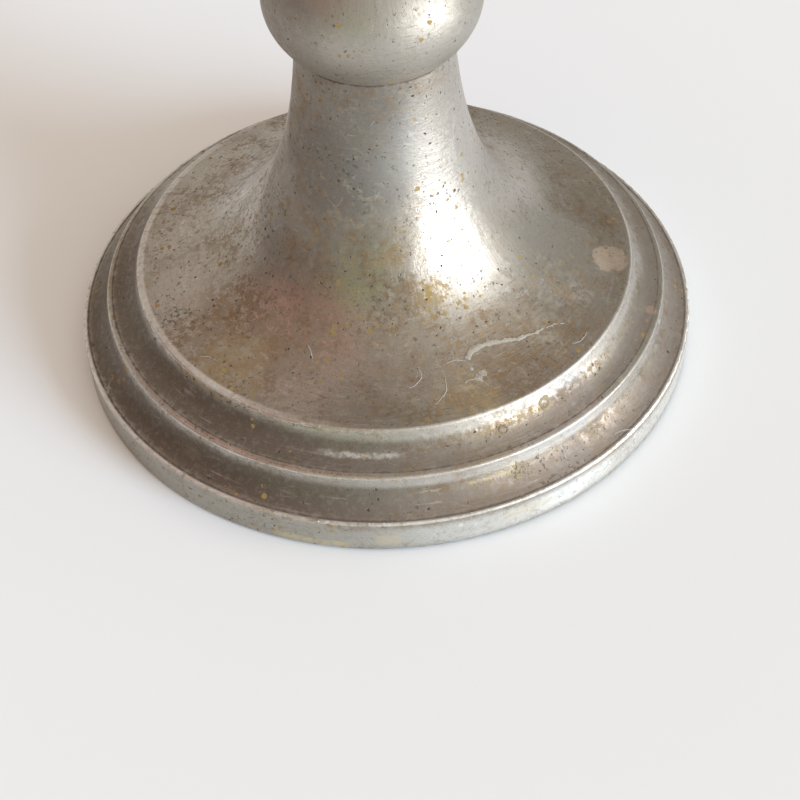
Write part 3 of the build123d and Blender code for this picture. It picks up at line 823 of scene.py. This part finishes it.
def residue_material(name, colour, shade):
    """Dried residue: matt, chalky and patchy with dirt."""
    material, g, shader, place = new_material(name)
    chalk = g.noise(place, 2.6, 6.0, 0.7)
    dirt = g.step(g.noise(place, 1.1, 5.0, 0.7), 0.50, 0.64)
    g.put(g.mix(dirt, g.mix(chalk, colour, shade), shade), shader.inputs["Base Color"])
    g.put(g.blend(chalk, 0.42, 0.75), shader.inputs["Roughness"])
    g.put(g.bump(chalk, 0.5, 0.08), shader.inputs["Normal"])
    return material


def ragged(point, scale, reach):
    """A smooth random length about 0, up to about reach, that changes from place to place."""
    return reach * (noise.noise(point * scale) + 0.5 * noise.noise(point * scale * 2.7))


def along_line(x, y, points):
    """(distance to the broken line through points, how far along it from 0 to 1)."""
    best, where = math.inf, 0.0
    for index, (start, end) in enumerate(zip(points, points[1:])):
        span = Vector(end) - Vector(start)
        share = max(0.0, min(1.0, (Vector((x, y)) - Vector(start)).dot(span) / span.length_squared))
        away = (Vector((x, y)) - Vector(start) - span * share).length
        if away < best:
            best, where = away, (index + share) / (len(points) - 1)
    return best, where


STREAK_LINE = (
    (13.6, -31.2), (14.4, -29.9), (16.6, -28.7), (19.3, -27.9), (22.6, -26.9), (25.0, -25.6), (27.3, -24.0),
    (29.2, -23.0), (31.2, -22.6),
)
STREAK_HALF_WIDTH = (0.62, 0.40, 0.22)
STREAK_THICKNESS = 0.09
STREAK_CENTRE = (22.4, -27.0)
STREAK_REACH = 10.5
# How fine each crust's grid is.
STREAK_GRID = 0.15
OCHRE_GRID = 0.08
FINE_GRID = 0.07


def streak_height(point):
    """Thickness of the pale streak, widest where it starts."""
    away, where = along_line(point.x, point.y, STREAK_LINE)
    start, middle, end = STREAK_HALF_WIDTH
    half = start + (middle - start) * where * 2 if where < 0.5 else middle + (end - middle) * (where * 2 - 1)
    half += ragged(point, 1.7, 0.22)
    away += ragged(point, 0.5, 0.25)
    return STREAK_THICKNESS * (1 - away / half) + 0.01 if away < half else 0.0


# A dried drop's ring, as shares of the drop's radius and of the rim's height.
DROP_RING = 0.72
DROP_RING_WIDTH = 0.22
DROP_BARE = 0.16


def drop_height(centre, radius, rim):
    """A dried drop: a ragged raised ring round bare metal."""
    middle, _ = on_foot(*centre)

    def height(point):
        away = (point - middle).length / (radius + ragged(point, 0.9, radius * 0.20))
        return rim * math.exp(-(((away - DROP_RING) / DROP_RING_WIDTH) ** 2)) - rim * DROP_BARE
    return height


def crumb_height(centre, radius, thickness, grain):
    """Loose crumbs that thin out from the centre."""
    middle, _ = on_foot(*centre)

    def height(point):
        away = (point - middle).length / radius
        return thickness * (ragged(point, grain, 1.0) + 0.30 - 0.50 * away * away) if away < 1.3 else 0.0
    return height


def patch_height(centre, radius, thickness, grain):
    """A crumbly patch, broken by holes."""
    middle, _ = on_foot(*centre)

    def height(point):
        away = (point - middle).length / radius + ragged(point, grain, 0.60)
        return thickness * (1 - away) + 0.008 if away < 1 else 0.0
    return height


FLECK_THICKNESS = 0.06
FLECK_GRAIN = 1.2
# How far each crust's grid reaches, as a share of its radius.
FLECK_REACH = 1.6
DROP_REACH = 1.4

CHALK_RESIDUE = residue_material("chalky_residue", (0.42, 0.365, 0.295), (0.25, 0.205, 0.155))
CREAM_RESIDUE = residue_material("cream_residue", (0.40, 0.32, 0.19), (0.22, 0.155, 0.08))
BROWN_RESIDUE = residue_material("brown_residue", (0.30, 0.22, 0.16), (0.16, 0.115, 0.08))
crust("residue_streak", STREAK_CENTRE, STREAK_REACH, STREAK_GRID, streak_height, CHALK_RESIDUE)
RESIDUE_FLECKS = (
    ("residue_fleck_1", (15.0, -34.9), 0.8),
    ("residue_fleck_2", (15.9, -33.9), 0.7),
    ("residue_fleck_3", (14.0, -33.2), 0.45),
)
for fleck_name, centre, size in RESIDUE_FLECKS:
    fleck_height = patch_height(centre, size, FLECK_THICKNESS, FLECK_GRAIN)
    crust(fleck_name, centre, size * FLECK_REACH, FINE_GRID, fleck_height, CHALK_RESIDUE)
DRIED_DROPS = (
    ("dried_drop_upper", (26.1, -37.7), 1.25, 0.13, CREAM_RESIDUE),
    ("dried_drop_lower", (34.3, -39.2), 0.80, 0.12, CREAM_RESIDUE),
    ("dried_drop_brown", (18.9, -42.7), 0.95, 0.14, BROWN_RESIDUE),
)
for drop_name, centre, size, rim, material in DRIED_DROPS:
    crust(drop_name, centre, size * DROP_REACH, FINE_GRID, drop_height(centre, size, rim), material)
OCHRE_PLACE = (21.4, -47.3)
OCHRE_REACH = 2.8
ochre_height = crumb_height(OCHRE_PLACE, radius=2.0, thickness=0.22, grain=1.9)
crust("ochre_crust", OCHRE_PLACE, OCHRE_REACH, OCHRE_GRID, ochre_height, CREAM_RESIDUE)

# Half the fibre's thickness, and the share of it that is left at the tips.
LINT_THICKNESS = 0.055
LINT_TIP = 0.35
LINT_STEPS = 26
LINT_SIDES = 5


def lint(name, start, heading, length, curl, material):
    """A hair-thin curled fibre that lies on the foot: a closed tube, thinner at its ends."""
    x, y = start
    angle = math.radians(heading)
    stride = length / LINT_STEPS
    line = []
    for index in range(LINT_STEPS + 1):
        point, normal = on_foot(x, y)
        line.append((point + normal * LINT_THICKNESS * 0.4, normal))
        angle += math.radians(curl) / LINT_STEPS * (1.0 + 1.4 * math.sin(index * 0.55 + heading))
        x += stride * math.cos(angle)
        y += stride * math.sin(angle)
    mesh = bmesh.new()
    rings = []
    for index, (point, normal) in enumerate(line):
        ahead = line[min(index + 1, LINT_STEPS)][0] - line[max(index - 1, 0)][0]
        side = ahead.cross(normal).normalized()
        up = side.cross(ahead).normalized()
        fullness = math.sqrt(max(math.sin(math.pi * index / LINT_STEPS), 0.0))
        thin = LINT_THICKNESS * (LINT_TIP + (1 - LINT_TIP) * fullness)
        ring = []
        for corner in range(LINT_SIDES):
            turn = 2 * math.pi * corner / LINT_SIDES
            ring.append(mesh.verts.new((point + (side * math.cos(turn) + up * math.sin(turn)) * thin) * MM))
        rings.append(ring)
    for back, front in zip(rings, rings[1:]):
        for corner in range(LINT_SIDES):
            after = (corner + 1) % LINT_SIDES
            mesh.faces.new((back[corner], back[after], front[after], front[corner]))
    mesh.faces.new(rings[0])
    mesh.faces.new(rings[-1])
    bmesh.ops.recalc_face_normals(mesh, faces=mesh.faces)
    fibre = finish_mesh(name, mesh)
    fibre.data.materials.append(material)
    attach(fibre, "stand")


LINT_PALE = residue_material("pale_lint", (0.55, 0.53, 0.48), (0.42, 0.38, 0.32))
# Start, heading in degrees, length and how far it turns on the way.
LINT_FIBRES = (
    ((7.5, -40.0), 20, 7.0, 95), ((12.8, -36.2), 75, 5.0, -130), ((3.0, -36.5), -20, 5.5, 150),
    ((-12.5, -30.8), 95, 2.6, 20), ((9.5, -33.0), 50, 4.0, -60), ((31.5, -27.0), 15, 4.5, 70),
    ((-29.0, -28.0), 120, 3.5, 55), ((38.0, -38.5), 45, 4.0, -35),
)
for number, (start, heading, length, curl) in enumerate(LINT_FIBRES, 1):
    lint("lint_%d" % number, start, heading, length, curl, LINT_PALE)

# ---------------------------------------------------------------- floor, lights and room


def make_floor():
    """A plain pale board, matt and without gloss."""
    bpy.ops.mesh.primitive_grid_add(x_subdivisions=4, y_subdivisions=4, size=FLOOR_SIZE_M)
    floor = bpy.context.object
    floor.name = "floor"
    material, g, shader, place = new_material("matte_white_board")
    cloud = g.noise(place, 0.004, 2.0, 0.5)
    paler = tuple(channel * FLOOR_CLOUD_GAIN for channel in FLOOR_COLOUR)
    g.put(g.mix(cloud, FLOOR_COLOUR, paler), shader.inputs["Base Color"])
    shader.inputs["Roughness"].default_value = 0.75
    shader.inputs["Specular IOR Level"].default_value = 0.0
    floor.data.materials.append(material)


def direction(azimuth, elevation):
    """Unit vector towards a point of the room: azimuth 0 is +Y and 90 is +X."""
    a, e = math.radians(azimuth), math.radians(elevation)
    return Vector((math.sin(a) * math.cos(e), math.cos(a) * math.cos(e), math.sin(e)))


def area_light(name, place, size, radiance, colour, diffuse=True, glossy=True):
    """A rectangular lamp aimed at the holder, with its place and size in metres."""
    light = bpy.data.lights.new(name, "AREA")
    light.shape = "RECTANGLE"
    light.size, light.size_y = size
    light.energy = radiance * WATTS_PER_RADIANCE * size[0] * size[1]
    light.color = colour
    lamp = bpy.data.objects.new(name, light)
    lamp.location = place
    lamp.rotation_euler = (Vector(LIGHT_AIM_M) - Vector(place)).to_track_quat("-Z", "Y").to_euler()
    lamp.visible_camera = False
    lamp.visible_diffuse = diffuse
    lamp.visible_glossy = glossy
    bpy.context.scene.collection.objects.link(lamp)


def window_light(name, colour, azimuth, elevation, distance_m, size_m, radiance, **seen_by):
    """A rectangular lamp in that direction from the origin."""
    area_light(name, direction(azimuth, elevation) * distance_m, size_m, radiance, colour, **seen_by)


def far_window(name, colour, azimuth, elevation, strength, spread):
    """A window so far off that it lights the whole floor evenly. spread is how wide it looks, in degrees."""
    light = bpy.data.lights.new(name, "SUN")
    light.energy = strength
    light.angle = math.radians(spread)
    light.color = colour
    lamp = bpy.data.objects.new(name, light)
    lamp.location = direction(azimuth, elevation)
    lamp.rotation_euler = (-direction(azimuth, elevation)).to_track_quat("-Z", "Y").to_euler()
    lamp.visible_camera = False
    lamp.visible_glossy = False
    bpy.context.scene.collection.objects.link(lamp)


def make_room():
    """A plain soft room: a warm grey with broad darker and lighter tones, and a pale backdrop."""
    world = bpy.data.worlds.new("room")
    bpy.context.scene.world = world
    world.use_nodes = True
    g = Graph(world.node_tree)
    toward = g.vector("NORMALIZE", g.add("ShaderNodeTexCoord").outputs["Generated"])
    colour = ROOM_COLOUR
    for azimuth, elevation, half_width, tone in ROOM_TONES:
        facing = g.vector("DOT_PRODUCT", toward, tuple(direction(azimuth, elevation)))
        edge = math.cos(math.radians(half_width * TONE_EDGE))
        core = math.cos(math.radians(half_width * TONE_CORE))
        colour = g.mix(g.step(facing, edge, core), colour, tone)
    seen = g.add("ShaderNodeLightPath").outputs["Is Camera Ray"]
    colour = g.mix(seen, colour, BACKDROP_COLOUR)
    background = g.add("ShaderNodeBackground")
    g.put(colour, background.inputs["Color"])
    output = g.add("ShaderNodeOutputWorld")
    g.put(background.outputs[0], output.inputs["Surface"])


def make_camera():
    """The camera that fits the photo's rings and outline."""
    camera = bpy.data.objects.new("camera", bpy.data.cameras.new("camera"))
    camera.data.lens = CAMERA_LENS
    camera.data.clip_start = CAMERA_NEAR_M
    camera.data.clip_end = CAMERA_FAR_M
    tilt = Matrix.Rotation(math.radians(90 - CAMERA_LOOKS_DOWN), 4, "X")
    roll = Matrix.Rotation(math.radians(CAMERA_ROLL), 4, "Z")
    camera.matrix_world = Matrix.Translation(Vector(CAMERA_PLACE) * MM) @ tilt @ roll
    bpy.context.scene.collection.objects.link(camera)
    bpy.context.scene.camera = camera


make_floor()
make_room()
make_camera()
window_light("window_glint", WINDOW_GLINT_COLOUR, **WINDOW_GLINT, diffuse=False)
far_window("window_soft", WINDOW_SOFT_COLOUR, **WINDOW_SOFT)
area_light("overhead_fill", FILL_PLACE_M, FILL_SIZE_M, FILL_RADIANCE, FILL_COLOUR, glossy=False)
bpy.context.scene.view_settings.view_transform = "Standard"
bpy.context.scene.view_settings.look = "None"
